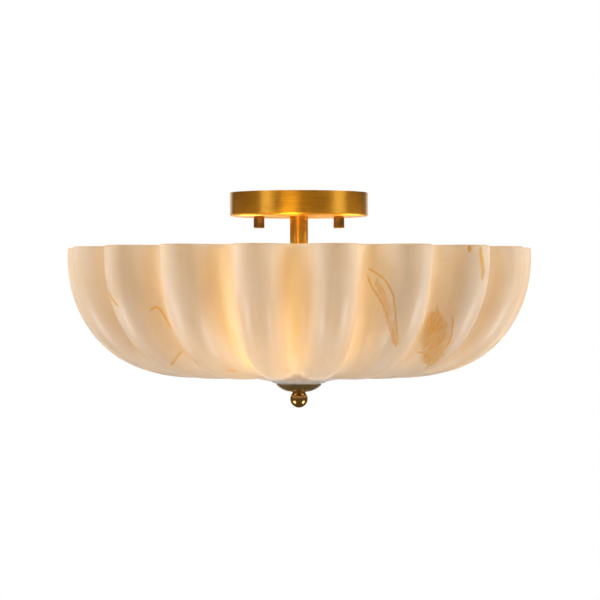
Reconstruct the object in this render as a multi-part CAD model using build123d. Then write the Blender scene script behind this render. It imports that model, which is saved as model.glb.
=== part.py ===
from build123d import *
import math
import os

# A semi-flush ceiling light: a brushed brass pan on the ceiling, a short brass stem, and a wide
# fluted bowl of marbled resin that hangs on the centre pipe and is held from below by a shallow
# cap and a ball nut. Three globe lamps lie inside the bowl, level, round a hub on the pipe.
# Frame: millimetres, +Z up, origin at the centre of the ceiling plane, -Y towards the room side
# that the photograph was taken from, +X to the right in it.

# Driving dimensions: pan on the ceiling
pan_d = 121.0
pan_h = 20.6
pan_wall = 1.2
pan_edge_r = 1.6
pan_inner_edge_r = 1.0
pan_lip_in = 1.4

# Driving dimensions: bracket behind the pan
bracket_t = 1.6
bracket_w = 18.0
bracket_stud_arm = 94.0
bracket_box_arm = 106.0
bracket_eye_d = 16.0
bracket_flange_h = 3.2
bracket_flange_gap = 1.6
box_screw_spacing = 79.5
box_slot_w = 4.6
box_slot_len = 14.2
stud_spacing = 70.0
stud_d = 4.0
stud_end_gap = 1.0
stud_end_chamfer = 0.5
stud_nut_af = 7.0
stud_nut_t = 3.2

# Driving dimensions: nuts under the pan
pan_nut_d = 9.5
pan_nut_h = 10.3
pan_nut_chamfer = 0.8
pan_nut_edge_r = 0.4
pan_nut_floor = 1.6

# Driving dimensions: stem, pipe and their nuts
stem_d = 16.0
stem_bottom_z = -78.0
stem_bush_len = 12.0
stem_bore_d = 13.0
stem_end_chamfer = 0.4
pipe_d = 10.0
pipe_bore_d = 7.0
nipple_top_z = -13.4
nipple_len = 29.0
pipe_in_stem = 14.0
pipe_nut_af = 14.0
pipe_nut_t = 3.6
lock_washer_d = 20.0
lock_washer_t = 1.0
lock_washer_teeth = 12
lock_washer_notch = 1.25
lock_washer_notch_w = 1.4
nut_turn_down = 0.6

# Driving dimensions: hub that carries the lampholders
hub_d = 46.0
hub_h = 25.0
hub_wall = 1.8
hub_edge_r = 3.0
hub_cover_t = 1.6
boss_d = 19.0
boss_reach = 27.0
lamp_count = 3
lamp_first_angle = -104.0
wire_hole_d = 5.0

# Driving dimensions: lampholders and lamps
arm_d = 10.0
arm_bore_d = 7.0
arm_in_hub = 2.0
arm_short_of_shell = 2.0
holder_d = 36.0
holder_back_d = 24.0
holder_len = 46.0
holder_bore_d = 29.0
holder_floor_t = 9.0
holder_back_bevel = 1.5
holder_back_rise = 3.0
holder_flare = 4.0
holder_waist = 1.0
holder_rim_w = 1.8
holder_rim_h = 3.0
holder_mouth_bevel = 2.0
shell_t = 0.4
shell_short_of_mouth = 6.0
lamp_base_d = 26.0
lamp_base_len = 25.0
lamp_thread_turns = 5
lamp_thread_h = 0.45
lamp_thread_len = 16.0
lamp_waist_len = 4.0
lamp_waist_in = 3.5
lamp_waist_edge = 0.8
lamp_thread_start = 1.2
lamp_contact_d = 9.0
lamp_contact_t = 0.8
contact_reach = 12.0
contact_foot = 4.0
contact_past_tip = 3.6
contact_rise = 2.4
contact_w = 5.0
contact_t = 0.5
globe_d = 45.0
globe_neck_d = 25.0
globe_reach = 52.0
globe_neck_len = 4.0
globe_shoulder_deg = 38.0

# Driving dimensions: bowl
rim_drop = 48.2
bowl_r = 203.0
bowl_wall = 3.5
flute_count = 18
flute_depth = 30.0
crest_width = 0.97
groove_width = 0.73
bowl_turn = -0.8
boss_drop = 118.3
bowl_boss_in = 2.0
bowl_eye_rise = 0.8
crest_eye_rise = 4.0
groove_eye_rise = 3.4
bowl_boss_d = 46.0
bowl_hole_d = 11.2
bowl_boss_rise = 1.2

# Driving dimensions: what clamps the bowl
stop_nut_count = 2
seat_washer_d = 38.0
seat_washer_t = 1.6
seat_washer_chamfer = 0.3
gasket_d = 42.0
gasket_t = 2.0
cap_gasket_t = 0.8
cap_gasket_in = 0.3
cap_gasket_w = 3.7
cap_d = 39.6
cap_h = 7.0
cap_wall = 1.2
cap_neck_d = 12.0
cap_edge_h = 0.7
cap_rim_w = 3.2
cap_bend_out = 15.84
cap_bend_drop = 4.06
cap_bend_in = 0.8
cap_neck_t = 1.92
ball_d = 15.5
ball_collar_d = 11.6
ball_collar_h = 1.0
ball_collar_in = 0.5
pipe_in_ball = 6.9

# Driving dimensions: wiring inside the pan
lead_d = 2.2
lead_bend_r = 6.0
lead_reach = 24.0
lead_gap = 0.6
lead_level_z = -8.4
connector_d = 9.0
connector_tip_d = 5.5
connector_tip_r = 1.0
connector_len = 17.0
connector_skirt_len = 7.65
connector_edge_in = 0.5
connector_edge_h = 0.6
connector_gap = 1.2
ground_screw_d = 3.5
ground_screw_head_d = 7.0
ground_screw_head_t = 2.2
ground_screw_head_r = 1.0
ground_screw_slot_w = 1.0
ground_screw_slot_h = 0.9
ground_screw_x = -18.0

# Named clearances
thread_gap = 0.05
slip_gap = 0.35
turn_gap = 0.5

# Derived heights, all downwards from the ceiling plane
pan_floor_z = -pan_h
pan_inner_z = pan_floor_z + pan_wall
hub_top_z = stem_bottom_z
hub_bottom_z = hub_top_z - hub_h
hub_cover_z = hub_bottom_z - hub_cover_t
lamp_axis_z = (hub_top_z + hub_bottom_z) / 2
rim_z = -rim_drop
bowl_seat_z = rim_z - boss_drop
bowl_floor_z = bowl_seat_z + bowl_wall + bowl_boss_rise
bowl_eye_r = bowl_boss_d / 2 - bowl_boss_in
cap_top_z = bowl_seat_z - cap_gasket_t
cap_bottom_z = cap_top_z - cap_h
pipe_top_z = stem_bottom_z + pipe_in_stem
pipe_bottom_z = cap_bottom_z - pipe_in_ball

# Derived distances along a lampholder, outwards from the pipe
holder_mouth = boss_reach + holder_len
shell_floor = boss_reach + holder_floor_t
lamp_tip = shell_floor + contact_rise + contact_t + turn_gap
arm_inner = hub_d / 2 - hub_wall - arm_in_hub

# Directions of the lamps about the pipe, in degrees from +X
lamp_angles = [lamp_first_angle + 360.0 / lamp_count * i for i in range(lamp_count)]


def ring(outer_d, inner_d, z_low, z_high):
    """A plain tube or washer about the Z axis."""
    profile = Circle(outer_d / 2) - Circle(inner_d / 2)
    return Pos(0, 0, z_low) * extrude(profile, z_high - z_low)


def rod(d, z_low, z_high):
    """A plain round bar about the Z axis."""
    return Pos(0, 0, z_low) * extrude(Circle(d / 2), z_high - z_low)


def hex_nut(across_flats, bore_d, z_low, z_high):
    """A hexagon nut whose corners are turned down on both faces."""
    side = RegularPolygon(across_flats / 2, 6, major_radius=False)
    body = Pos(0, 0, z_low) * extrude(side - Circle(bore_d / 2), z_high - z_low)
    corner_r = across_flats / math.sqrt(3)
    turn_down = (corner_r - across_flats / 2) * nut_turn_down
    blank = rod(2 * corner_r, z_low, z_high)
    blank = chamfer(blank.edges(), turn_down)
    return body & blank


def turned(points):
    """A solid of revolution about Z from corner points (radius, height)."""
    outline = Polyline([(r, 0, z) for r, z in points], close=True)
    return revolve(make_face(outline), Axis.Z)


def lying(solid, angle, z):
    """Lay a solid that was built along +Z level, pointing outwards at an angle about Z."""
    return Pos(0, 0, z) * Rot(0, 0, angle) * Rot(0, 90, 0) * solid


def bar(length_x, width_y, z_low, z_high):
    """A flat bar with round ends, longest along X."""
    blank = SlotOverall(length_x, width_y)
    return Pos(0, 0, z_low) * extrude(blank, z_high - z_low)


# Bracket and studs behind the pan
def make_bracket():
    low = -bracket_t
    stud_arm = bar(bracket_stud_arm, bracket_w, low, 0)
    box_arm = Rot(0, 0, 90) * bar(bracket_box_arm, bracket_w, low, 0)
    flange = Box(bracket_stud_arm - bracket_w, bracket_t, bracket_flange_h)
    flange_y = bracket_w / 2 - bracket_t / 2
    gap = Box(bracket_w + 2 * bracket_flange_gap, 2 * bracket_w, 2 * bracket_flange_h)
    plate = stud_arm + box_arm
    for side in (-1, 1):
        fold = Pos(0, side * flange_y, low - bracket_flange_h / 2) * flange
        plate += fold - Pos(0, 0, low - bracket_flange_h) * gap
    plate -= ring_hole(bracket_eye_d, low)
    for side in (-1, 1):
        plate -= Pos(side * stud_spacing / 2, 0, 0) * ring_hole(stud_d + 2 * thread_gap, low)
        slot = SlotOverall(box_slot_len, box_slot_w, rotation=90)
        slot_y = side * box_screw_spacing / 2
        plate -= Pos(0, slot_y, low - 1) * extrude(slot, bracket_t + 2)
    plate -= Pos(ground_screw_x, 0, 0) * ring_hole(ground_screw_d + 2 * thread_gap, low)
    return plate


def ring_hole(d, low):
    """A cutter that runs through a plate from low up to the ceiling plane."""
    return rod(d, low - 1, 1)


def make_studs():
    bottom = pan_floor_z - pan_nut_h + pan_nut_floor + stud_end_gap
    stud = chamfer(rod(stud_d, bottom, 0).edges().sort_by(Axis.Z)[0], stud_end_chamfer)
    return [Pos(side * stud_spacing / 2, 0, 0) * stud for side in (-1, 1)]


def make_stud_nuts():
    nut = hex_nut(stud_nut_af, stud_d + 2 * thread_gap, -bracket_t - stud_nut_t, -bracket_t)
    return [Pos(side * stud_spacing / 2, 0, 0) * nut for side in (-1, 1)]


def make_ground_screw():
    low = -bracket_t
    shank = rod(ground_screw_d, low, 0)
    head = rod(ground_screw_head_d, low - ground_screw_head_t, low)
    head = fillet(head.edges().sort_by(Axis.Z)[0], ground_screw_head_r)
    slot = Box(2 * ground_screw_head_d, ground_screw_slot_w, 2 * ground_screw_slot_h)
    head -= Pos(0, 0, low - ground_screw_head_t) * slot
    return Pos(ground_screw_x, 0, 0) * (shank + head)


# Pan and the two nuts that hold it up
def make_pan():
    outer = rod(pan_d, pan_floor_z, 0)
    outer = fillet(outer.edges().sort_by(Axis.Z)[0], pan_edge_r)
    hollow = rod(pan_d - 2 * pan_wall, pan_inner_z, 0)
    hollow = fillet(hollow.edges().sort_by(Axis.Z)[0], pan_inner_edge_r)
    pan = outer - hollow
    lip_d = pan_d - 2 * pan_wall
    pan += ring(lip_d, lip_d - 2 * pan_lip_in, -pan_wall, 0)
    pan -= rod(pipe_d + 2 * slip_gap, pan_floor_z - 1, pan_inner_z + 1)
    for side in (-1, 1):
        hole = rod(stud_d + 2 * slip_gap, pan_floor_z - 1, pan_inner_z + 1)
        pan -= Pos(side * stud_spacing / 2, 0, 0) * hole
    return pan


def make_pan_nut(side):
    nut = rod(pan_nut_d, pan_floor_z - pan_nut_h, pan_floor_z)
    nut = chamfer(nut.edges().sort_by(Axis.Z)[-1], pan_nut_chamfer)
    nut = fillet(nut.edges().sort_by(Axis.Z)[0], pan_nut_edge_r)
    nut -= rod(stud_d + 2 * thread_gap, pan_floor_z - pan_nut_h + pan_nut_floor, pan_floor_z + 1)
    return Pos(side * stud_spacing / 2, 0, 0) * nut


# Stem, centre pipe and their nuts
def make_nipple():
    return ring(pipe_d, pipe_bore_d, nipple_top_z - nipple_len, nipple_top_z)


def make_lock_washer():
    washer = ring(lock_washer_d, pipe_d + 2 * slip_gap, pan_inner_z, pan_inner_z + lock_washer_t)
    notch = Box(2 * lock_washer_notch, lock_washer_notch_w, 3 * lock_washer_t)
    for place in PolarLocations(lock_washer_d / 2, lock_washer_teeth):
        washer -= Pos(0, 0, pan_inner_z) * place * notch
    return washer


def make_pipe_nut(z_low):
    return hex_nut(pipe_nut_af, pipe_d + 2 * thread_gap, z_low, z_low + pipe_nut_t)


def make_stem():
    top = pan_floor_z
    bottom = stem_bottom_z
    tube = ring(stem_d, pipe_d + 2 * thread_gap, bottom, top)
    tube = chamfer(tube.edges().group_by(Axis.Z)[0].sort_by(SortBy.LENGTH)[-1], stem_end_chamfer)
    return tube - rod(stem_bore_d, bottom + stem_bush_len, top - stem_bush_len)


def make_centre_pipe():
    pipe = ring(pipe_d, pipe_bore_d, pipe_bottom_z, pipe_top_z)
    return pipe - lying(rod(wire_hole_d, -pipe_d, pipe_d), 0, lamp_axis_z)


# Hub: a turned cup with a flat-faced boss for each lampholder, and its cover
def make_hub():
    cup = rod(hub_d, hub_bottom_z, hub_top_z)
    for angle in lamp_angles:
        cup += lying(rod(boss_d, 0, boss_reach), angle, lamp_axis_z)
    cup = fillet(cup.edges().group_by(Axis.Z)[-1], hub_edge_r)
    inside = rod(hub_d - 2 * hub_wall, hub_bottom_z, hub_top_z - hub_wall)
    cup -= inside
    cup -= rod(pipe_d + 2 * slip_gap, hub_top_z - hub_wall - 1, hub_top_z + 1)
    for angle in lamp_angles:
        cup -= lying(rod(arm_d + 2 * thread_gap, 0, boss_reach + 1), angle, lamp_axis_z)
    return cup


def make_hub_cover():
    cover = rod(hub_d, hub_cover_z, hub_bottom_z)
    cover = fillet(cover.edges().sort_by(Axis.Z)[0], hub_cover_t / 2)
    spigot_d = hub_d - 2 * hub_wall - 2 * slip_gap
    cover += ring(spigot_d, spigot_d - 2 * hub_wall, hub_bottom_z, hub_bottom_z + hub_wall)
    return cover - rod(pipe_d + 2 * slip_gap, hub_cover_z - 1, hub_bottom_z + hub_wall + 1)


# Lampholders and lamps, built along +Z and then laid level
def make_arm(angle):
    tube = ring(arm_d, arm_bore_d, arm_inner, shell_floor - arm_short_of_shell)
    return lying(tube, angle, lamp_axis_z)


def make_holder(angle):
    back_r = holder_back_d / 2
    side_r = holder_d / 2
    bore_r = holder_bore_d / 2
    waist_r = side_r - holder_waist
    rim_low = holder_mouth - holder_rim_h
    outer = turned([
        (arm_d / 2 + thread_gap, boss_reach),
        (back_r, boss_reach),
        (back_r + holder_back_bevel, boss_reach + holder_back_rise),
        (waist_r, shell_floor + holder_flare),
        (waist_r, rim_low - holder_waist),
        (side_r, rim_low),
        (side_r, holder_mouth),
        (side_r - holder_rim_w, holder_mouth),
        (bore_r, holder_mouth - holder_mouth_bevel),
        (bore_r, shell_floor),
        (arm_d / 2 + thread_gap, shell_floor),
    ])
    return lying(outer, angle, lamp_axis_z)


def make_shell(angle):
    outer_r = holder_bore_d / 2 - slip_gap
    tube = ring(2 * outer_r, 2 * (outer_r - shell_t), shell_floor, holder_mouth - shell_short_of_mouth)
    return lying(tube, angle, lamp_axis_z)


def make_contact(angle):
    """The sprung tongue that the lamp's tip presses on, riveted to the holder's floor."""
    foot_end = (contact_reach, 0)
    heel = (contact_reach - contact_foot, 0)
    top = (-contact_past_tip, contact_rise)
    strip = Polyline([foot_end, heel, top])
    face = trace(strip, contact_t)
    tongue = extrude(Plane.XZ * face, contact_w / 2, both=True)
    return lying(Pos(0, 0, shell_floor + contact_t / 2) * tongue, angle, lamp_axis_z)


def make_lamp_base(angle):
    """Screw base: a skirt with rolled thread ridges, an insulating waist and the tip."""
    root_r = lamp_base_d / 2 - lamp_thread_h
    waist = lamp_tip + lamp_waist_len
    end = lamp_tip + lamp_base_len
    pitch = lamp_thread_len / lamp_thread_turns
    contact_r = lamp_contact_d / 2
    points = [(0, lamp_tip), (contact_r, lamp_tip), (contact_r, lamp_tip + lamp_contact_t)]
    points += [(root_r - lamp_waist_in, waist - lamp_waist_edge), (root_r, waist + lamp_waist_edge)]
    for turn in range(lamp_thread_turns):
        low = waist + lamp_thread_start + turn * pitch
        points += [(root_r, low), (root_r + lamp_thread_h, low + pitch * 0.35)]
        points += [(root_r + lamp_thread_h, low + pitch * 0.55), (root_r, low + pitch * 0.9)]
    points += [(root_r, end), (0, end)]
    return lying(turned(points), angle, lamp_axis_z)


def make_globe(angle):
    """Frosted globe that swells from the screw base's edge."""
    start = lamp_tip + lamp_base_len
    neck_r = globe_neck_d / 2
    ball_r = globe_d / 2
    end = start + globe_reach
    middle = end - ball_r
    neck_end = (neck_r, start + globe_neck_len)
    shoulder_angle = math.radians(globe_shoulder_deg)
    shoulder = (ball_r * math.cos(shoulder_angle), middle - ball_r * math.sin(shoulder_angle))
    profile = Polyline([(0, start), (neck_r, start), neck_end])
    profile += Line(neck_end, shoulder)
    profile += ThreePointArc(shoulder, (ball_r, middle), (0, end))
    profile += Line((0, end), (0, start))
    outline = make_face(profile.edges())
    return lying(revolve(Plane.XZ * outline, Axis.Z), angle, lamp_axis_z)


# Bowl: one flute is one smooth patch, from groove to crest to groove. Its control rows lie on two
# meridian lines, crest and groove, and copies of it turned about Z are sewn into the bowl.
def crest_controls():
    """Control points (radius, drop) of the meridian along a flute's crest, from rim to eye."""
    side = [(bowl_r, 0), (bowl_r, -0.19 * boss_drop), (1.04 * bowl_r, -0.72 * boss_drop)]
    turn = [(0.665 * bowl_r, -1.28 * boss_drop), (0.51 * bowl_r, -0.815 * boss_drop)]
    eye = [(0.19 * bowl_r, crest_eye_rise - boss_drop), (bowl_eye_r, bowl_eye_rise - boss_drop)]
    return side + turn + eye


def groove_controls():
    """The same along the bottom of a groove, which meets the crest's line at the eye."""
    top_r = bowl_r - flute_depth
    side = [(top_r, 0), (top_r, -0.185 * boss_drop), (1.02 * top_r, -0.665 * boss_drop)]
    turn = [(0.705 * top_r, -1.13 * boss_drop), (0.56 * top_r, -0.815 * boss_drop)]
    eye = [(0.205 * top_r, groove_eye_rise - boss_drop), (bowl_eye_r, bowl_eye_rise - boss_drop)]
    return side + turn + eye


def offset_controls(points, wall):
    """Move a control line into the bowl by the wall, square to the legs at each point."""
    moved = []
    for i, (r, z) in enumerate(points):
        before = points[max(i - 1, 0)]
        after = points[min(i + 1, len(points) - 1)]
        leg = Vector(after[0] - before[0], after[1] - before[1]).normalized()
        inward = Vector(leg.Y, -leg.X) if i else Vector(-1, 0)
        moved.append((r + wall * inward.X, z + wall * inward.Y))
    return moved


def flute_row(crest, groove, thinner):
    """Seven control points across a flute at one height, so that its middle lies on the crest.

    The middle of a curve with seven control points weighs them 1, 6, 15, 20, 15, 6, 1 parts in 64.
    """
    half_pitch = math.pi / flute_count
    steep = min((crest[0] - groove[0]) / (half_pitch * crest[0]), 1)
    crest_len = crest_width * half_pitch * crest[0] - thinner * steep
    groove_len = groove_width * half_pitch * groove[0] + thinner * steep
    end = Vector(groove[0] * math.sin(half_pitch), -groove[0] * math.cos(half_pitch), groove[1])
    near = end - Vector(math.cos(half_pitch), math.sin(half_pitch), 0) * groove_len
    top_y = (-64 * crest[0] - 2 * end.Y - 12 * near.Y) / 50
    top_z = (64 * crest[1] - 2 * end.Z - 12 * near.Z) / 50
    right = [Vector(crest_len, top_y, top_z), near, end]
    left = [Vector(-point.X, point.Y, point.Z) for point in reversed(right)]
    return left + [Vector(0, top_y, top_z)] + right


def flute_skin(crest, groove, thinner):
    """One side of the wall over one flute; thinner is how far its flanks draw together."""
    rows = [flute_row(*ends, thinner) for ends in zip(crest, groove)]
    return Face.make_bezier_surface(rows)


def make_bowl():
    crest = crest_controls()
    groove = groove_controls()
    outer = flute_skin(crest, groove, 0)
    crest_in = offset_controls(crest, bowl_wall)
    groove_in = offset_controls(groove, bowl_wall)
    inner = flute_skin(crest_in, groove_in, bowl_wall)
    rim_edges = [skin.edges().sort_by(Axis.Z)[-1] for skin in (outer, inner)]
    eye_edges = [skin.edges().sort_by(Axis.Z)[0] for skin in (outer, inner)]
    rim = Face.make_surface_from_curves(*rim_edges)
    eye = Face.make_surface_from_curves(*eye_edges)
    faces = []
    for i in range(flute_count):
        turn = Rot(0, 0, bowl_turn - 360 / flute_count * (i + 0.5))
        faces += [turn * face for face in (outer, inner, rim, eye)]
    shell = Shell(Face.sew_faces(faces)[0])
    fluted = Pos(0, 0, rim_z) * Solid(shell)
    boss = rod(bowl_boss_d, bowl_seat_z, bowl_floor_z)
    boss = fillet(boss.edges(), bowl_boss_rise / 2)
    bowl = fluted + boss
    return bowl - rod(bowl_hole_d, bowl_seat_z - 1, bowl_floor_z + 1)


# What clamps the bowl: stack above it, then gasket, cap and ball nut below it
def make_seat_gasket():
    return ring(gasket_d, pipe_d + 2 * slip_gap, bowl_floor_z, bowl_floor_z + gasket_t)


def make_seat_washer():
    low = bowl_floor_z + gasket_t
    washer = ring(seat_washer_d, pipe_d + 2 * slip_gap, low, low + seat_washer_t)
    return chamfer(washer.edges().group_by(Axis.Z)[-1], seat_washer_chamfer)


def make_stop_nuts():
    low = bowl_floor_z + gasket_t + seat_washer_t
    return [make_pipe_nut(low + i * pipe_nut_t) for i in range(stop_nut_count)]


def make_cap_gasket():
    gasket_outer_d = cap_d - 2 * cap_gasket_in
    return ring(gasket_outer_d, gasket_outer_d - 2 * cap_gasket_w, cap_top_z, bowl_seat_z)


def make_cap():
    """A shallow spun dome, open above, whose rim carries the gasket."""
    rim_r = cap_d / 2
    neck = (cap_neck_d / 2, cap_bottom_z)
    hole_low = (pipe_d / 2 + slip_gap, cap_bottom_z)
    hole_high = (hole_low[0], cap_bottom_z + cap_neck_t)
    bend = (cap_bend_out, cap_top_z - cap_bend_drop)
    inner_bend = (bend[0] - cap_bend_in, bend[1] + cap_wall)
    edge = (rim_r, cap_top_z - cap_edge_h)
    rim_in = (rim_r - cap_rim_w, cap_top_z)
    outline = [Line(hole_low, neck), ThreePointArc(neck, bend, edge)]
    outline += [Line(edge, (rim_r, cap_top_z)), Line((rim_r, cap_top_z), rim_in)]
    outline += [ThreePointArc(rim_in, inner_bend, hole_high), Line(hole_high, hole_low)]
    profile = make_face(Wire(outline))
    return revolve(Plane.XZ * profile, Axis.Z)


def make_ball_nut():
    collar_top = cap_bottom_z
    ball_r = ball_d / 2
    flat_r = ball_collar_d / 2
    centre = collar_top - ball_collar_h - math.sqrt(ball_r ** 2 - flat_r ** 2)
    ball = Pos(0, 0, centre) * Sphere(ball_r)
    ball -= rod(ball_d, collar_top - ball_collar_h, collar_top + ball_d)
    ball += rod(ball_collar_d, collar_top - ball_collar_h - ball_collar_in, collar_top)
    hole_end = pipe_bottom_z - turn_gap
    return ball - rod(pipe_d + 2 * thread_gap, hole_end, collar_top + 1)


# Wiring inside the pan
def make_lead(side):
    """One insulated lead, up out of the pipe and over to its connector in the pan."""
    x = side * (lead_d + lead_gap) / 2
    start = (x, 0, pipe_top_z)
    corner = (x, 0, lead_level_z)
    end = (x, lead_reach, lead_level_z)
    path = FilletPolyline(start, corner, end, radius=lead_bend_r)
    return sweep(Plane(start, z_dir=(0, 0, 1)) * Circle(lead_d / 2), path=path)


def make_connectors():
    """Twist-on connectors over the lead ends, lying side by side in the pan."""
    pieces = []
    for side in (-1, 1):
        cone = turned([
            (0, 0),
            (lead_d / 2, 0),
            (connector_d / 2 - connector_edge_in, 0),
            (connector_d / 2, connector_edge_h),
            (connector_d / 2, connector_skirt_len),
            (connector_tip_d / 2, connector_len - connector_tip_r),
            (connector_tip_d / 2 - connector_tip_r, connector_len),
            (0, connector_len),
        ])
        x = side * (connector_d + connector_gap) / 2
        pieces.append(Pos(x, lead_reach, lead_level_z) * Rot(-90, 0, 0) * cone)
    return pieces


def save(name, shape):
    if isinstance(shape, (list, tuple)):
        shape = Compound(children=list(shape))
    export_step(shape, "parts/" + name + ".step")


def main():
    os.makedirs("parts", exist_ok=True)
    save("mounting_bracket", make_bracket())
    save("canopy_studs", make_studs())
    save("stud_lock_nuts", make_stud_nuts())
    save("ground_screw", make_ground_screw())
    save("canopy_pan", make_pan())
    save("canopy_nut_left", make_pan_nut(-1))
    save("canopy_nut_right", make_pan_nut(1))
    save("canopy_nipple", make_nipple())
    save("canopy_lock_washer", make_lock_washer())
    save("canopy_lock_nut", make_pipe_nut(pan_inner_z + lock_washer_t))
    save("stem_tube", make_stem())
    save("centre_pipe", make_centre_pipe())
    save("lamp_hub", make_hub())
    save("lamp_hub_cover", make_hub_cover())
    save("hub_upper_nut", make_pipe_nut(hub_top_z - hub_wall - pipe_nut_t))
    save("hub_lower_nut", make_pipe_nut(hub_cover_z - pipe_nut_t))
    for number, angle in enumerate(lamp_angles, 1):
        save(f"holder_arm_{number}", make_arm(angle))
        save(f"lampholder_{number}", make_holder(angle))
        save(f"screw_shell_{number}", make_shell(angle))
        save(f"centre_contact_{number}", make_contact(angle))
        save(f"lamp_base_{number}", make_lamp_base(angle))
        save(f"lamp_globe_{number}", make_globe(angle))
    save("stop_nuts", make_stop_nuts())
    save("seat_washer", make_seat_washer())
    save("seat_gasket", make_seat_gasket())
    save("bowl_shade", make_bowl())
    save("cap_gasket", make_cap_gasket())
    save("bottom_cap", make_cap())
    save("ball_nut", make_ball_nut())
    save("lead_live", make_lead(-1))
    save("lead_neutral", make_lead(1))
    save("wire_connectors", make_connectors())


main()
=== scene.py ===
import bpy
import math
import numpy as np
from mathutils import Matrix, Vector


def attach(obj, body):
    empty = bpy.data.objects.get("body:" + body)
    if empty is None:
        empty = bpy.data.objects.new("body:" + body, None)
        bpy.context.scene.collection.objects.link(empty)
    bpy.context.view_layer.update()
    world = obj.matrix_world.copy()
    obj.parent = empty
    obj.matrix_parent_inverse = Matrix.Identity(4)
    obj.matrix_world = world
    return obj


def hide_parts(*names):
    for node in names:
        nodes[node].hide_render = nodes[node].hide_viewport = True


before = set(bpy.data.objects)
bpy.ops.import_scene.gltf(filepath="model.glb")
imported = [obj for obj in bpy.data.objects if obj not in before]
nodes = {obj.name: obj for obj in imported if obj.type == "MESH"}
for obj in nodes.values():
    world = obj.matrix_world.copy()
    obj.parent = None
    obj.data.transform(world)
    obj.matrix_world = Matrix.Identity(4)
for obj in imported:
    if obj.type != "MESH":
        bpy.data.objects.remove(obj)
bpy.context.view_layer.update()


# Camera: level with the middle of the light, a little over two metres in front of it, with a
# long lens, so that 0.8765 mm of the object's middle plane fills one of the picture's 600 pixels.
lens_mm = 150.0
film_mm = 36.0
camera_away = 2.191
camera_side = 0.0009
camera_height = -0.0938
camera_data = bpy.data.cameras.new("front_camera")
camera_data.lens = lens_mm
camera_data.sensor_width = film_mm
camera = bpy.data.objects.new("front_camera", camera_data)
camera.location = (camera_side, -camera_away, camera_height)
camera.rotation_euler = (math.radians(90), 0, 0)
bpy.context.scene.collection.objects.link(camera)
bpy.context.scene.camera = camera
bpy.context.scene.view_settings.view_transform = "Standard"


# Backdrop: white to the camera, through the resin and in the metal, and a dim grey room for the
# light that falls on matt surfaces.
room_grey = (0.22, 0.22, 0.22, 1)
backdrop_white = (1, 1, 1, 1)


def joined(tree, kind, inputs, **settings):
    """A node of a kind with its inputs set: a socket is linked and any other value is written."""
    made = tree.nodes.new("ShaderNode" + kind)
    for name, value in settings.items():
        setattr(made, name, value)
    for key, value in inputs.items():
        if isinstance(value, bpy.types.NodeSocket):
            tree.links.new(value, made.inputs[key])
        else:
            made.inputs[key].default_value = value
    return made


def finds_white(tree):
    """One for a ray from the camera, through a surface or off a mirror, and nought for the rest."""
    ray = joined(tree, "LightPath", {}).outputs
    seen = joined(tree, "Math", {0: ray["Is Camera Ray"], 1: ray["Is Transmission Ray"]},
                  operation="ADD")
    seen = joined(tree, "Math", {0: seen.outputs[0], 1: ray["Is Glossy Ray"]}, operation="ADD",
                  use_clamp=True)
    return seen.outputs[0]


studio = bpy.data.worlds.new("studio")
bpy.context.scene.world = studio
studio.use_nodes = True
sky = studio.node_tree
sky.nodes.clear()
surround = joined(sky, "Mix", {"Factor": finds_white(sky), "A": room_grey, "B": backdrop_white},
                  data_type="RGBA")
surround = joined(sky, "Background", {"Color": surround.outputs["Result"]})
joined(sky, "OutputWorld", {"Surface": surround.outputs[0]})


# Soft lamps, all facing the bowl. Two raised ones in front and two low ones at the sides show in
# the metal; the fills at the sides and behind give light and no reflection.
softbox_far = 1.6
bowl_middle = Vector((0, 0, -0.1))


def softbox(name, azimuth, rise, wide, tall, watts, mirrored):
    """A rectangular lamp that faces the bowl from a direction: an azimuth from the camera's side
    and a rise above the level, both in degrees. One that isn't mirrored gives no reflection."""
    lamp = bpy.data.lights.new(name, "AREA")
    lamp.shape = "RECTANGLE"
    lamp.size, lamp.size_y = wide, tall
    lamp.energy = watts
    made = bpy.data.objects.new(name, lamp)
    turn, lift = math.radians(azimuth), math.radians(rise)
    away = Vector((math.sin(turn) * math.cos(lift), -math.cos(turn) * math.cos(lift),
                   math.sin(lift)))
    made.location = bowl_middle + softbox_far * away
    made.rotation_euler = away.to_track_quat("Z", "Y").to_euler()
    made.visible_camera = False
    made.visible_glossy = mirrored
    bpy.context.scene.collection.objects.link(made)


softbox("left_softbox", azimuth=-58, rise=32, wide=0.5, tall=1.0, watts=5.5, mirrored=True)
softbox("right_softbox", azimuth=74, rise=32, wide=0.6, tall=1.0, watts=6.0, mirrored=True)
softbox("low_left_softbox", azimuth=-72, rise=-38, wide=0.7, tall=0.7, watts=7.5, mirrored=True)
softbox("low_right_softbox", azimuth=72, rise=-38, wide=0.7, tall=0.7, watts=8.5, mirrored=True)
softbox("left_fill", azimuth=-85, rise=0, wide=0.9, tall=0.9, watts=6.5, mirrored=False)
softbox("right_fill", azimuth=85, rise=0, wide=0.9, tall=0.9, watts=5.5, mirrored=False)
softbox("left_rear_fill", azimuth=-120, rise=45, wide=0.9, tall=0.9, watts=13.0, mirrored=False)
softbox("right_rear_fill", azimuth=120, rise=45, wide=0.9, tall=0.9, watts=10.0, mirrored=False)


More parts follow.
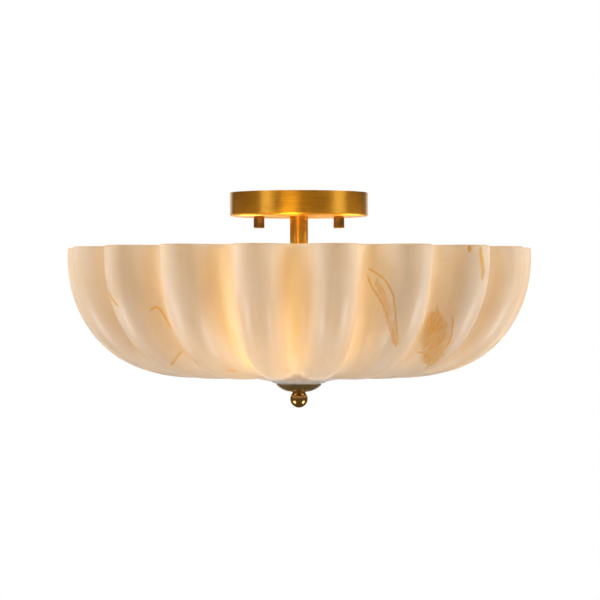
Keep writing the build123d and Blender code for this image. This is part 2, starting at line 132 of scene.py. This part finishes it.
# Dim card: part of a sphere round the light, open only behind it, that nothing but a mirrored ray
# sees. It is warm and dim, like the room that the photograph's brass mirrors.
card_near = 2.6
card_edge = math.radians(150)
card_rings = 24
card_spokes = 48
card_warm = (1.0, 0.82, 0.55, 1)
card_grey = 0.15
from_camera = np.linspace(0, card_edge, card_rings)[:, None]
about = np.linspace(0, 2 * math.pi, card_spokes, endpoint=False)[None]
card_points = np.stack([np.sin(from_camera) * np.cos(about), -np.cos(from_camera) + 0 * about,
                        np.sin(from_camera) * np.sin(about)], -1) * card_near
ring, spoke = np.meshgrid(np.arange(card_rings - 1), np.arange(card_spokes), indexing="ij")
next_spoke = (spoke + 1) % card_spokes
card_quads = np.stack([ring * card_spokes + spoke, ring * card_spokes + next_spoke,
                       (ring + 1) * card_spokes + next_spoke,
                       (ring + 1) * card_spokes + spoke], -1)
card_mesh = bpy.data.meshes.new("dim_card")
card_mesh.from_pydata(card_points.reshape(-1, 3), [], card_quads.reshape(-1, 4).tolist())
card = bpy.data.objects.new("dim_card", card_mesh)
bpy.context.scene.collection.objects.link(card)
card_paint = bpy.data.materials.new("card_paint")
card_paint.use_nodes = True
tree = card_paint.node_tree
tree.nodes.clear()
glow = joined(tree, "Emission", {"Color": card_warm, "Strength": card_grey})
joined(tree, "OutputMaterial", {"Surface": glow.outputs[0]})
card_mesh.materials.append(card_paint)
card.visible_camera = False
card.visible_diffuse = False
card.visible_transmission = False
card.visible_shadow = False


# Floor: a pale sheet as far below the light as a room's floor is below its ceiling, white to the
# same rays as the backdrop.
floor_half = 3.0
floor_height = -2.7
floor_pale = (0.9, 0.9, 0.9, 1)
floor_mesh = bpy.data.meshes.new("pale_floor")
floor_mesh.from_pydata([(-floor_half, -floor_half, floor_height),
                        (floor_half, -floor_half, floor_height),
                        (floor_half, floor_half, floor_height),
                        (-floor_half, floor_half, floor_height)], [], [(0, 1, 2, 3)])
floor = bpy.data.objects.new("pale_floor", floor_mesh)
bpy.context.scene.collection.objects.link(floor)
floor_paint = bpy.data.materials.new("floor_paint")
floor_paint.use_nodes = True
tree = floor_paint.node_tree
tree.nodes.clear()
matt = joined(tree, "BsdfDiffuse", {"Color": floor_pale})
glow = joined(tree, "Emission", {"Color": backdrop_white})
both = joined(tree, "MixShader", {0: finds_white(tree), 1: matt.outputs[0], 2: glow.outputs[0]})
joined(tree, "OutputMaterial", {"Surface": both.outputs[0]})
floor_mesh.materials.append(floor_paint)


# Canopy: a spun brass pan that two nuts hold up against the ceiling. It is lacquered and brushed
# round and round, so its fine scratches run level on the side and in rings on the underside.
def finish_of(name, colour, metallic, roughness):
    """A material with one Principled shader, as (material, its tree, the shader)."""
    made = bpy.data.materials.new(name)
    made.use_nodes = True
    shader = made.node_tree.nodes["Principled BSDF"]
    shader.inputs["Base Color"].default_value = (*colour, 1)
    shader.inputs["Metallic"].default_value = metallic
    shader.inputs["Roughness"].default_value = roughness
    return made, made.node_tree, shader


def brass(name, colour, roughness, brushed, tarnish, dark, scale):
    """Brass with fine turned scratches, as strong as brushed says, and with clouds of a dark
    colour, as deep as tarnish and as small as scale says. The scratches are the mean of noise on
    (radius, height) and of noise drawn out level."""
    made, tree, shader = finish_of(name, colour, 1.0, roughness)
    place = joined(tree, "TexCoord", {}).outputs["Object"]
    apart = joined(tree, "SeparateXYZ", {0: place})
    flat = joined(tree, "CombineXYZ", {0: apart.outputs[0], 1: apart.outputs[1]})
    drawn_level = (60, 60, 2200)
    radius = joined(tree, "VectorMath", {0: flat.outputs[0]}, operation="LENGTH")
    line = joined(tree, "CombineXYZ", {0: radius.outputs["Value"], 2: apart.outputs[2]})
    lines = joined(tree, "TexNoise", {"Vector": line.outputs[0], "Scale": 4200.0, "Detail": 3.0})
    wisp = joined(tree, "VectorMath", {0: place, 1: drawn_level}, operation="MULTIPLY")
    wisps = joined(tree, "TexNoise", {"Vector": wisp.outputs[0], "Scale": 1.0, "Detail": 4.0})
    scratch = joined(tree, "Mix", {"Factor": 0.5, "A": lines.outputs["Fac"],
                                   "B": wisps.outputs["Fac"]}, data_type="FLOAT")
    cloud = joined(tree, "TexNoise", {"Vector": place, "Scale": scale, "Detail": 4.0})
    aged = joined(tree, "MapRange", {"Value": cloud.outputs["Fac"], "From Min": 0.42,
                                     "From Max": 0.75, "To Max": tarnish})
    tone = joined(tree, "Mix", {"Factor": aged.outputs[0], "A": (*colour, 1), "B": (*dark, 1)},
                  data_type="RGBA")
    shade = joined(tree, "MapRange", {"Value": scratch.outputs["Result"], "From Min": 0.3,
                                      "From Max": 0.7, "To Min": 1 - 0.35 * brushed,
                                      "To Max": 1 + 0.1 * brushed})
    toned = joined(tree, "Mix", {"Factor": 1.0, "A": tone.outputs["Result"],
                                 "B": shade.outputs[0]}, data_type="RGBA", blend_type="MULTIPLY")
    tree.links.new(toned.outputs["Result"], shader.inputs["Base Color"])
    rough = joined(tree, "MapRange", {"Value": scratch.outputs["Result"], "From Min": 0.3,
                                      "From Max": 0.7, "To Min": roughness - 0.08 * brushed,
                                      "To Max": roughness + 0.08 * brushed})
    tree.links.new(rough.outputs[0], shader.inputs["Roughness"])
    bump = joined(tree, "Bump", {"Height": scratch.outputs["Result"], "Strength": 0.12 * brushed,
                                 "Distance": 0.0002})
    tree.links.new(bump.outputs[0], shader.inputs["Normal"])
    return made, tree, shader


def lathe_grain(tree, shader, strength):
    """Draws the highlights out across scratches that run round the light's axis."""
    shader.inputs["Anisotropic"].default_value = strength
    shader.inputs["Anisotropic Rotation"].default_value = 0.25
    around = joined(tree, "Tangent", {}, direction_type="RADIAL", axis="Z")
    tree.links.new(around.outputs[0], shader.inputs["Tangent"])


def dress(names, material):
    """Gives CAD nodes a material in place of the one they have in model.glb."""
    for name in names:
        slots = nodes[name].data.materials
        slots.clear()
        slots.append(material)


brushed_brass, tree, shader = brass("brushed_brass", (0.82, 0.43, 0.055), 0.40, brushed=1.0,
                                    tarnish=0.25, dark=(0.42, 0.20, 0.05), scale=30.0)
lathe_grain(tree, shader, 0.92)
dress(["canopy_pan"], brushed_brass)


# Stem, ball nut, cap and canopy nuts: turned or spun brass, polished and then darkened with age,
# and screwed on. The two nuts under the canopy are the darkest.
turned_brass, tree, shader = brass("turned_brass", (0.80, 0.42, 0.07), 0.22, brushed=0.25,
                                   tarnish=0.5, dark=(0.34, 0.16, 0.03), scale=90.0)
lathe_grain(tree, shader, 0.9)
dress(["stem_tube"], turned_brass)
polished_brass = brass("polished_brass", (0.72, 0.42, 0.14), 0.16, brushed=0.25, tarnish=0.5,
                       dark=(0.30, 0.16, 0.05), scale=90.0)[0]
dress(["ball_nut"], polished_brass)
antique_brass = brass("antique_brass", (0.55, 0.33, 0.10), 0.22, brushed=0.4, tarnish=0.8,
                      dark=(0.20, 0.12, 0.05), scale=120.0)[0]
dress(["canopy_nut_left", "canopy_nut_right"], antique_brass)
cap_brass = brass("cap_brass", (0.66, 0.46, 0.22), 0.30, brushed=0.4, tarnish=0.5,
                  dark=(0.26, 0.17, 0.07), scale=120.0)[0]
dress(["bottom_cap"], cap_brass)


# Lamp hub and its cover: a round brass box on the pipe, with a satin finish, which carries the
# three lamps on its bosses. It doesn't show from outside.
satin_brass = brass("satin_brass", (0.72, 0.40, 0.12), 0.38, brushed=0.6, tarnish=0.3,
                    dark=(0.35, 0.18, 0.06), scale=60.0)[0]
dress(["lamp_hub", "lamp_hub_cover"], satin_brass)


# Steel parts behind the canopy and on the pipe: pressed, turned or threaded, zinc plated and
# faintly mottled. The earth screw is dyed green.
def plain(name, colour, metallic, roughness, scale, change):
    """A finish whose roughness wanders a little with noise of a scale, and whose colour the same
    noise darkens by up to the share that change gives."""
    made, tree, shader = finish_of(name, colour, metallic, roughness)
    place = joined(tree, "TexCoord", {}).outputs["Object"]
    cloud = joined(tree, "TexNoise", {"Vector": place, "Scale": scale, "Detail": 5.0})
    deep = tuple(value * (1 - change) for value in colour)
    tone = joined(tree, "Mix", {"Factor": cloud.outputs["Fac"], "A": (*colour, 1),
                                "B": (*deep, 1)}, data_type="RGBA")
    tree.links.new(tone.outputs["Result"], shader.inputs["Base Color"])
    rough = joined(tree, "MapRange", {"Value": cloud.outputs["Fac"], "To Min": roughness - 0.08,
                                      "To Max": roughness + 0.08})
    tree.links.new(rough.outputs[0], shader.inputs["Roughness"])
    bump = joined(tree, "Bump", {"Height": cloud.outputs["Fac"], "Strength": 0.1,
                                 "Distance": 0.0003})
    tree.links.new(bump.outputs[0], shader.inputs["Normal"])
    return made, tree, shader


def three(name):
    """The names of the three nodes that each lamp has one of."""
    return [f"{name}_{i}" for i in (1, 2, 3)]


zinc = plain("zinc_plate", (0.62, 0.62, 0.60), 1.0, 0.34, 400.0, 0.25)[0]
dress(["mounting_bracket", "canopy_studs", "stud_lock_nuts", "canopy_nipple", "canopy_lock_washer",
       "canopy_lock_nut", "centre_pipe", "hub_upper_nut", "hub_lower_nut", "stop_nuts",
       "seat_washer", *three("holder_arm")], zinc)
green = plain("green_screw", (0.06, 0.30, 0.10), 1.0, 0.35, 500.0, 0.3)[0]
dress(["ground_screw"], green)


# Lampholders and lamps: white moulded holders with a brass screw shell and contact inside, and
# round frosted lamps on rolled aluminium bases, screwed in and lit.
lamp_glow = 18.0
glow_colour = (1.0, 0.72, 0.20, 1)
phenolic = plain("white_phenolic", (0.86, 0.84, 0.78), 0.0, 0.4, 200.0, 0.06)[0]
dress(three("lampholder"), phenolic)
shell_brass = plain("shell_brass", (0.75, 0.50, 0.18), 1.0, 0.3, 300.0, 0.2)[0]
dress(three("screw_shell") + three("centre_contact"), shell_brass)
aluminium = plain("rolled_aluminium", (0.75, 0.75, 0.74), 1.0, 0.3, 300.0, 0.15)[0]
dress(three("lamp_base"), aluminium)
frosted, tree, shader = plain("frosted_glass", (0.95, 0.90, 0.80), 0.0, 0.5, 150.0, 0.04)
shader.inputs["Emission Color"].default_value = glow_colour
shader.inputs["Emission Strength"].default_value = lamp_glow
dress(three("lamp_globe"), frosted)


# Wiring and gaskets: plastic-covered leads with twist-on connectors in the canopy, a black rubber
# gasket on the bowl's seat, and a clear ring between the bowl and the cap.
dress(["lead_live"], plain("black_insulation", (0.02, 0.02, 0.02), 0.0, 0.45, 300.0, 0.3)[0])
dress(["lead_neutral"], plain("white_insulation", (0.80, 0.80, 0.78), 0.0, 0.45, 300.0, 0.08)[0])
dress(["wire_connectors"], plain("yellow_plastic", (0.80, 0.55, 0.06), 0.0, 0.4, 300.0, 0.12)[0])
dress(["seat_gasket"], plain("black_rubber", (0.03, 0.03, 0.03), 0.0, 0.7, 500.0, 0.3)[0])
dress(["cap_gasket"], plain("clear_ring", (0.70, 0.66, 0.58), 0.0, 0.35, 300.0, 0.1)[0])


# Bowl: one fluted bowl of cast resin, 406 mm across, cream with amber veins that were swirled in
# before it set. Eighteen flutes run from the rim to a flat boss round the hole for the pipe, where
# the cap and the ball nut clamp it. Sizes are in millimetres.
mm = 0.001
rim_z = -48.2
boss_drop = 118.3
bowl_r = 203.0
flute_count = 18
flute_depth = 30.0
crest_width = 0.97
groove_width = 0.73
bowl_turn = -0.8
wall = 3.5
eye_r = 21.0
eye_rise = 0.8


def side_lines(top_r, shares, last_rise):
    """Control points (radius, drop) of a meridian from the rim to the eye, from shares of the top
    radius and of the whole drop; the last but one lies last_rise above the boss's underside."""
    points = [(radius * top_r, drop * boss_drop) for radius, drop in shares]
    points[-1] = (points[-1][0], -boss_drop + last_rise)
    return np.array(points + [(eye_r, -boss_drop + eye_rise)])


crest_line = side_lines(bowl_r, [(1, 0), (1, -0.19), (1.04, -0.72), (0.665, -1.28),
                                 (0.51, -0.815), (0.19, -1)], last_rise=4.0)
groove_line = side_lines(bowl_r - flute_depth, [(1, 0), (1, -0.185), (1.02, -0.665),
                                                (0.705, -1.13), (0.56, -0.815), (0.205, -1)],
                         last_rise=3.4)


def moved_in(line):
    """The control line moved into the bowl by the wall, square to the legs at each point."""
    leg = np.concatenate([line[1:], line[-1:]]) - np.concatenate([line[:1], line[:-1]])
    leg /= np.linalg.norm(leg, axis=1)[:, None]
    inward = np.stack([leg[:, 1], -leg[:, 0]], 1)
    inward[0] = (-1, 0)
    return line + wall * inward


def flute_points(crest, groove, thinner):
    """The 7 by 7 control points of one flute. Each row runs level from groove to groove, and its
    middle three points are set so that the curve, which weighs them 15, 20 and 15 parts in 64,
    lies on the crest."""
    pitch = math.pi / flute_count
    steep = np.minimum((crest[:, 0] - groove[:, 0]) / (pitch * crest[:, 0]), 1)
    crest_len = crest_width * pitch * crest[:, 0] - thinner * steep
    groove_len = groove_width * pitch * groove[:, 0] + thinner * steep
    end = np.stack([groove[:, 0] * math.sin(pitch), -groove[:, 0] * math.cos(pitch),
                    groove[:, 1]], 1)
    near = end - np.outer(groove_len, [math.cos(pitch), math.sin(pitch), 0])
    top_y = (-64 * crest[:, 0] - 2 * end[:, 1] - 12 * near[:, 1]) / 50
    top_z = (64 * crest[:, 1] - 2 * end[:, 2] - 12 * near[:, 2]) / 50
    middle = np.stack([0 * top_y, top_y, top_z], 1)
    right = np.stack([middle + np.outer(crest_len, [1, 0, 0]), near, end], 1)
    left = right[:, ::-1] * [-1, 1, 1]
    return np.concatenate([left, middle[:, None], right], 1)


def weights(share):
    """How much each of seven control points counts at a share of the way along their curve: 1, 6,
    15, 20, 15, 6, 1 times a power of the share and the opposite power of what is left of it."""
    share = np.asarray(share)[:, None]
    count = np.arange(7)
    return np.array([1, 6, 15, 20, 15, 6, 1.0]) * share ** count * (1 - share) ** (6 - count)


across = 24


def skin(crest, groove, thinner, shares):
    """Rows of points all round the bowl, one row for each share of the way from rim to eye: the
    control points weighed along and across one flute, then turned to each flute's place."""
    control = flute_points(crest, groove, thinner)
    one = np.einsum("vi,uj,ijk->vuk", weights(shares), weights(np.arange(across) / across),
                    control)
    turns = np.radians(bowl_turn + 360 / flute_count * (np.arange(flute_count) + 0.5))
    cos, sin = np.cos(turns)[None, :, None], np.sin(turns)[None, :, None]
    x, y, z = (one[:, None, :, k] for k in range(3))
    around = np.stack([x * cos - y * sin, x * sin + y * cos, z + 0 * cos], -1)
    return around.reshape(len(shares), flute_count * across, 3)


below_rim = 0.0095
beside_boss = 0.9715
outer_rows = 84
inner_rows = 56
outer_shares = np.linspace(below_rim, beside_boss, outer_rows)
inner_shares = np.linspace(beside_boss, below_rim, inner_rows)
outer_skin = skin(crest_line, groove_line, 0, outer_shares)
inner_skin = skin(moved_in(crest_line), moved_in(groove_line), wall, inner_shares)

boss_r = 23.0
boss_round = 0.6
boss_round_third = 0.2
boss_middle_r = 14
boss_rise = 1.2
hole_r = 5.6
hole_edge = 0.3
floor_rise = wall + boss_rise
boss_rings = np.array([
    (boss_r, boss_round), (boss_r - boss_round_third, boss_round_third), (boss_r - boss_round, 0),
    (boss_middle_r, 0), (hole_r + hole_edge, 0), (hole_r, hole_edge),
    (hole_r, floor_rise - hole_edge), (hole_r + hole_edge, floor_rise),
    (boss_middle_r, floor_rise), (boss_r - boss_round, floor_rise),
    (boss_r - boss_round_third, floor_rise - boss_round_third), (boss_r, floor_rise - boss_round)])
bearing = np.arctan2(outer_skin[-1, :, 0], -outer_skin[-1, :, 1])
ring_r, ring_z = boss_rings.T[:, :, None]
boss = np.stack([ring_r * np.sin(bearing), -ring_r * np.cos(bearing),
                 ring_z - boss_drop + 0 * bearing], -1)

rim_round = 1.2
lip_share = np.array([0.14, 0.32, 0.5, 0.68, 0.86])[:, None, None]
lip = inner_skin[-1] * (1 - lip_share) + outer_skin[0] * lip_share
lip[:, :, 2] = -rim_round * (1 - np.sqrt(1 - (2 * lip_share[:, :, 0] - 1) ** 2))

grid = np.concatenate([outer_skin, boss, inner_skin, lip])
rows, columns = grid.shape[:2]
points = grid.reshape(-1, 3) + (0, 0, rim_z)
row_at, column_at = np.meshgrid(np.arange(rows), np.arange(columns), indexing="ij")
next_row, next_column = (row_at + 1) % rows, (column_at + 1) % columns
quads = np.stack([row_at * columns + column_at, next_row * columns + column_at,
                  next_row * columns + next_column, row_at * columns + next_column], -1)
bowl_mesh = bpy.data.meshes.new("bowl")
bowl_mesh.from_pydata(points * mm, [], quads.reshape(-1, 4).tolist())
bowl_mesh.shade_smooth()
bowl = bpy.data.objects.new("bowl", bowl_mesh)
bpy.context.scene.collection.objects.link(bowl)

fall = np.concatenate([outer_shares, np.ones(len(boss)), inner_shares, np.zeros(len(lip))])
place_u = np.stack([column_at, column_at, column_at + 1, column_at + 1], -1) / columns
place_v = np.stack([fall[row_at], fall[next_row], fall[next_row], fall[row_at]], -1)
chart = bowl_mesh.uv_layers.new(name="turn_and_fall")
chart.data.foreach_set("uv", np.stack([place_u, place_v], -1).ravel())


# Marbling: the amber pigment was drawn through the resin in threads, loops and stained patches
# before it set. Each thread has a channel, a half width in mm, a strength, and a line over the
# outside as (share of a turn, share of the way down).
right_threads = [
    ("vein_a", 1.6, 0.80, [(.0542, .110), (.0569, .118), (.0611, .138), (.0667, .165),
                           (.0708, .211), (.0736, .273), (.0778, .332), (.0792, .357),
                           (.0819, .357)]),
    ("vein_b", 1.7, 0.80, [(.0542, .118), (.0569, .177), (.0625, .219), (.0694, .271),
                           (.0736, .325), (.0778, .369)]),
    ("vein_c", 6.5, 0.55, [(.0590, .150), (.0640, .210), (.0700, .270), (.0755, .335)]),
    ("vein_d", 3.6, 0.70, [(.0715, .285), (.0745, .320), (.0775, .352), (.0788, .368)]),
    ("vein_c", 17.0, 0.80, [(.1180, .262), (.1200, .310), (.1225, .355), (.1270, .405),
                            (.1340, .475)]),
    ("vein_a", 1.8, 0.80, [(.1255, .255), (.1292, .310), (.1319, .367), (.1317, .409),
                           (.1345, .460)]),
    ("vein_b", 2.0, 0.85, [(.1181, .426), (.1222, .416), (.1278, .428), (.1319, .460),
                           (.1375, .507)]),
    ("vein_d", 3.6, 0.95, [(.1458, .285), (.1456, .342), (.1444, .395), (.1436, .440),
                           (.1405, .500)]),
    ("vein_a", 2.8, 0.95, [(.1292, .000), (.1292, .042)]),
    ("vein_b", 3.4, 0.85, [(.1347, .000), (.1361, .073), (.1375, .118), (.1375, .150)]),
]
left_threads = [
    ("vein_a", 2.4, 0.95, [(.8236, .150), (.8556, .179), (.8597, .204), (.8639, .234)]),
    ("vein_b", 2.0, 0.80, [(.8778, .253), (.8806, .243), (.8833, .243), (.8847, .258),
                           (.8861, .298), (.8861, .342)]),
    ("vein_a", 2.3, 0.75, [(.8847, .423), (.8792, .441), (.8722, .465), (.8694, .475)]),
    ("vein_b", 1.1, 0.55, [(.9069, .357), (.9097, .391), (.9125, .428), (.9125, .485)]),
    ("vein_a", 2.0, 0.50, [(.9278, .505), (.9306, .529), (.9333, .551)]),
]
copies = [(right_threads, 0.0, 1, 0.0), (right_threads, 0.36, 1, 0.07),
          (right_threads, 0.68, -1, -0.03), (left_threads, 0.0, 1, 0.0),
          (left_threads, 0.46, 1, -0.05), (left_threads, 1.57, -1, 0.06)]
thread_samples = 72
thread_blur = 9
thread_reach = 4.2
patch_turn = 0.06
patch_fall = 0.25
turn_step = 0.0005
fall_step = 0.002
taper_from = 0.12
taper_to = 0.95
no_thread = [0.0, -20.0, 0.0]


def on_skin(turn_share, fall_share):
    """Points of the outer skin, in millimetres, at shares of a turn and of the way down: the flute
    that holds the share of a turn, weighed over its control points, and turned into its place."""
    flute = np.floor(turn_share * flute_count)
    along = turn_share * flute_count - flute
    control = flute_points(crest_line, groove_line, 0)
    point = np.einsum("ni,nj,ijk->nk", weights(fall_share), weights(along), control)
    turn = np.radians(bowl_turn + 360 / flute_count * (flute + 0.5))
    cos, sin = np.cos(turn), np.sin(turn)
    return np.stack([point[:, 0] * cos - point[:, 1] * sin, point[:, 0] * sin + point[:, 1] * cos,
                     point[:, 2]], -1)


def thread_line(corners):
    """A thread's corners resampled evenly and rounded by a running mean, as two rows of shares."""
    corners = np.array(corners)
    along = np.linspace(0, len(corners) - 1, thread_samples + thread_blur - 1)
    line = np.stack([np.interp(along, np.arange(len(corners)), corners[:, k]) for k in (0, 1)])
    even = np.ones(thread_blur) / thread_blur
    return np.stack([np.convolve(row, even, "valid") for row in line])


def thread_field(points, half_width, line):
    """For each point, how far it lies to one side of the thread, with a sign, and the thread's half
    width there. The half width goes with the root of a sine along the thread, and falls away by
    how far a point lies beyond either end."""
    turn_share, fall_share = line
    fall_share = np.clip(fall_share, 0, 1)
    centre = on_skin(turn_share % 1, fall_share)
    tangent = np.gradient(centre, axis=0)
    tangent /= np.linalg.norm(tangent, axis=1)[:, None]
    ahead = on_skin((turn_share + turn_step) % 1, fall_share) - centre
    below = on_skin(turn_share % 1, np.clip(fall_share + fall_step, 0, 1)) - centre
    outward = np.cross(below, ahead)
    sideways = np.cross(outward, tangent)
    sideways /= np.linalg.norm(sideways, axis=1)[:, None]
    apart = np.linalg.norm(points[:, None] - centre[None], axis=2)
    nearest = apart.argmin(1)
    step = points - centre[nearest]
    distance = apart[np.arange(len(points)), nearest]
    at_end = (nearest == 0) | (nearest == len(centre) - 1)
    beyond = np.abs((step * tangent[nearest]).sum(1)) * at_end
    taper = np.sin(np.linspace(taper_from, taper_to, len(centre)) * math.pi) ** 0.5
    side = np.where((step * sideways[nearest]).sum(1) < 0, -1.0, 1.0)
    return side * distance, half_width * taper[nearest] - beyond


skin_points = outer_skin.reshape(-1, 3)
skin_turn = np.tile(np.arange(columns) / columns, outer_rows)
skin_fall = np.repeat(outer_shares, columns)
fields = {name: np.tile(no_thread, (len(skin_points), 1)) for name in
          ("vein_a", "vein_b", "vein_c", "vein_d")}
for threads, shift, way, drop in copies:
    for channel, half_width, tone, corners in threads:
        placed = [(shift + way * turn, max(down + drop, 0) if drop else down)
                  for turn, down in corners]
        line = thread_line(placed)
        gap = np.abs((skin_turn - line[0].mean() + 0.5) % 1 - 0.5)
        close = (gap < patch_turn) & (np.abs(skin_fall - line[1].mean()) < patch_fall)
        offset, width = thread_field(skin_points[close], half_width, line)
        near = np.abs(offset) < half_width + thread_reach
        field = fields[channel]
        better = near & (width - np.abs(offset) > field[close, 1] - np.abs(field[close, 0]))
        chosen = np.flatnonzero(close)[better]
        field[chosen] = np.stack([offset[better], width[better],
                                  np.full(len(chosen), tone)], 1)
for name, field in fields.items():
    values = np.tile(no_thread, (rows * columns, 1))
    values[:len(field)] = field
    kept = bowl_mesh.attributes.new(name, "FLOAT_VECTOR", "POINT")
    kept.data.foreach_set("vector", values.ravel())


# Resin: half opaque cream that lets the lamps' light through, with faint upright flow marks, cloudy
# patches and the amber threads. Its colour holds painted shade: it is a little darker on the
# crests, and the light it lets through is darker on the crests and towards the boss.
cream = (0.86, 0.83, 0.79, 1)
cream_crest_shade = (0.97, 0.96, 0.96, 1)
passed = (1.0, 0.86, 0.64, 1)
passed_crest_shade = (0.90, 0.89, 0.88, 1)
passed_low_shade = (0.66, 0.66, 0.72, 1)
unchanged = (1.0, 1.0, 1.0, 1)
amber_share = (0.86, 0.56, 0.08, 1)
flow_share = (0.95, 0.90, 0.80, 1)
passing = 0.4
least_edge = 0.25
resin = bpy.data.materials.new("marbled_resin")
resin.use_nodes = True
tree = resin.node_tree
shader = tree.nodes["Principled BSDF"]
place = joined(tree, "TexCoord", {}).outputs["Object"]
chart_at = joined(tree, "UVMap", {}, uv_map="turn_and_fall").outputs[0]
wander = joined(tree, "TexNoise", {"Vector": place, "Scale": 140.0, "Detail": 3.0})
fibre_at = joined(tree, "VectorMath", {0: chart_at, 1: (700, 24, 1)}, operation="MULTIPLY")
fibres = joined(tree, "TexNoise", {"Vector": fibre_at.outputs[0], "Scale": 1.0, "Detail": 5.0})


def thread_mask(name, wobble, softness, fibrous):
    """How much amber a channel of threads gives: one inside its half width, after its line has been
    bent by noise up to wobble mm, falling to nothing over a share of the width that softness
    gives, and broken by fibres as deep as fibrous says."""
    field = joined(tree, "Attribute", {}, attribute_name=name)
    part = joined(tree, "SeparateXYZ", {0: field.outputs["Vector"]})
    bend = joined(tree, "MapRange", {"Value": wander.outputs["Fac"], "From Min": 0.25,
                                     "From Max": 0.75, "To Min": -wobble, "To Max": wobble},
                  clamp=False)
    bent = joined(tree, "Math", {0: part.outputs[0], 1: bend.outputs[0]}, operation="ADD")
    away = joined(tree, "Math", {0: bent.outputs[0]}, operation="ABSOLUTE")
    inside = joined(tree, "Math", {0: part.outputs[1], 1: away.outputs[0]}, operation="SUBTRACT")
    edge = joined(tree, "Math", {0: part.outputs[1], 1: softness, 2: least_edge},
                  operation="MULTIPLY_ADD")
    edge = joined(tree, "Math", {0: edge.outputs[0], 1: least_edge}, operation="MAXIMUM")
    mask = joined(tree, "MapRange", {"Value": inside.outputs[0], "From Max": edge.outputs[0]},
                  interpolation_type="SMOOTHSTEP")
    worn = joined(tree, "MapRange", {"Value": fibres.outputs["Fac"], "From Min": 0.3,
                                     "From Max": 0.65, "To Min": 1 - fibrous})
    mask = joined(tree, "Math", {0: mask.outputs[0], 1: worn.outputs[0]}, operation="MULTIPLY")
    return joined(tree, "Math", {0: mask.outputs[0], 1: part.outputs[2]}, operation="MULTIPLY")


masks = [thread_mask("vein_a", wobble=0.5, softness=0.7, fibrous=0.2),
         thread_mask("vein_b", wobble=0.6, softness=0.7, fibrous=0.3),
         thread_mask("vein_c", wobble=3.0, softness=0.6, fibrous=0.55),
         thread_mask("vein_d", wobble=0.6, softness=0.8, fibrous=0.3)]
turn_at, fall_at = joined(tree, "SeparateXYZ", {0: chart_at}).outputs[:2]
rim_tint = joined(tree, "MapRange", {"Value": fall_at, "From Min": 0.002, "From Max": 0.012,
                                     "To Min": 0.3, "To Max": 0.0})
mask = rim_tint
for thread in masks:
    mask = joined(tree, "Math", {0: mask.outputs[0], 1: thread.outputs[0]}, operation="MAXIMUM")

grain_at = joined(tree, "VectorMath", {0: chart_at, 1: (150, 2.5, 1)}, operation="MULTIPLY")
grain = joined(tree, "TexNoise", {"Vector": grain_at.outputs[0], "Scale": 1.0, "Detail": 4.0})
cloud = joined(tree, "TexNoise", {"Vector": place, "Scale": 16.0, "Detail": 4.0})
flow = joined(tree, "Mix", {"Factor": 0.5, "A": grain.outputs["Fac"], "B": cloud.outputs["Fac"]},
              data_type="FLOAT")
flow = joined(tree, "MapRange", {"Value": flow.outputs["Result"], "From Min": 0.42,
                                 "From Max": 0.62})
# Painted shade: the crests of the flutes get a darker colour, found from each point's place round
# the bowl.
phase = joined(tree, "Math", {0: turn_at, 1: 2 * math.pi * flute_count}, operation="MULTIPLY")
crest = joined(tree, "Math", {0: phase.outputs[0]}, operation="COSINE")
crest = joined(tree, "MapRange", {"Value": crest.outputs[0], "From Min": 1.0, "From Max": -1.0})
# Painted shade: the light that the resin lets through is darkened towards the boss.
low = joined(tree, "MapRange", {"Value": fall_at, "From Min": 0.4, "From Max": 0.85},
             interpolation_type="SMOOTHSTEP")


def pigmented(colour, crest_shade_share, low_shade_share):
    """A colour of the resin, times one share of painted shade on the crests and another towards the
    boss, and with its flow marks and its amber threads."""
    on_crest = tuple(a * b for a, b in zip(colour, crest_shade_share))
    in_amber = tuple(a * b for a, b in zip(colour, amber_share))
    made = joined(tree, "Mix", {"Factor": crest.outputs[0], "A": colour, "B": on_crest},
                  data_type="RGBA")
    low_shade_tint = joined(tree, "Mix", {"Factor": low.outputs[0], "A": unchanged, "B": low_shade_share},
                   data_type="RGBA")
    marks = joined(tree, "Mix", {"Factor": flow.outputs[0], "A": unchanged, "B": flow_share},
                   data_type="RGBA")
    for change in (low_shade_tint, marks):
        made = joined(tree, "Mix", {"Factor": 1.0, "A": made.outputs["Result"],
                                    "B": change.outputs["Result"]},
                      data_type="RGBA", blend_type="MULTIPLY")
    made = joined(tree, "Mix", {"Factor": mask.outputs[0], "A": made.outputs["Result"],
                                "B": in_amber}, data_type="RGBA")
    return made.outputs["Result"]


tree.links.new(pigmented(cream, cream_crest_shade, unchanged), shader.inputs["Base Color"])
shader.inputs["Roughness"].default_value = 0.4
shader.inputs["Coat Weight"].default_value = 0.5
shader.inputs["Coat Roughness"].default_value = 0.22
through = joined(tree, "BsdfTranslucent", {"Color": pigmented(passed, passed_crest_shade, passed_low_shade)})
both = joined(tree, "MixShader", {0: passing, 1: shader.outputs[0], 2: through.outputs[0]})
tree.links.new(both.outputs[0], tree.nodes["Material Output"].inputs["Surface"])
bowl_mesh.materials.append(resin)
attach(bowl, "bowl")
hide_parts("bowl_shade")
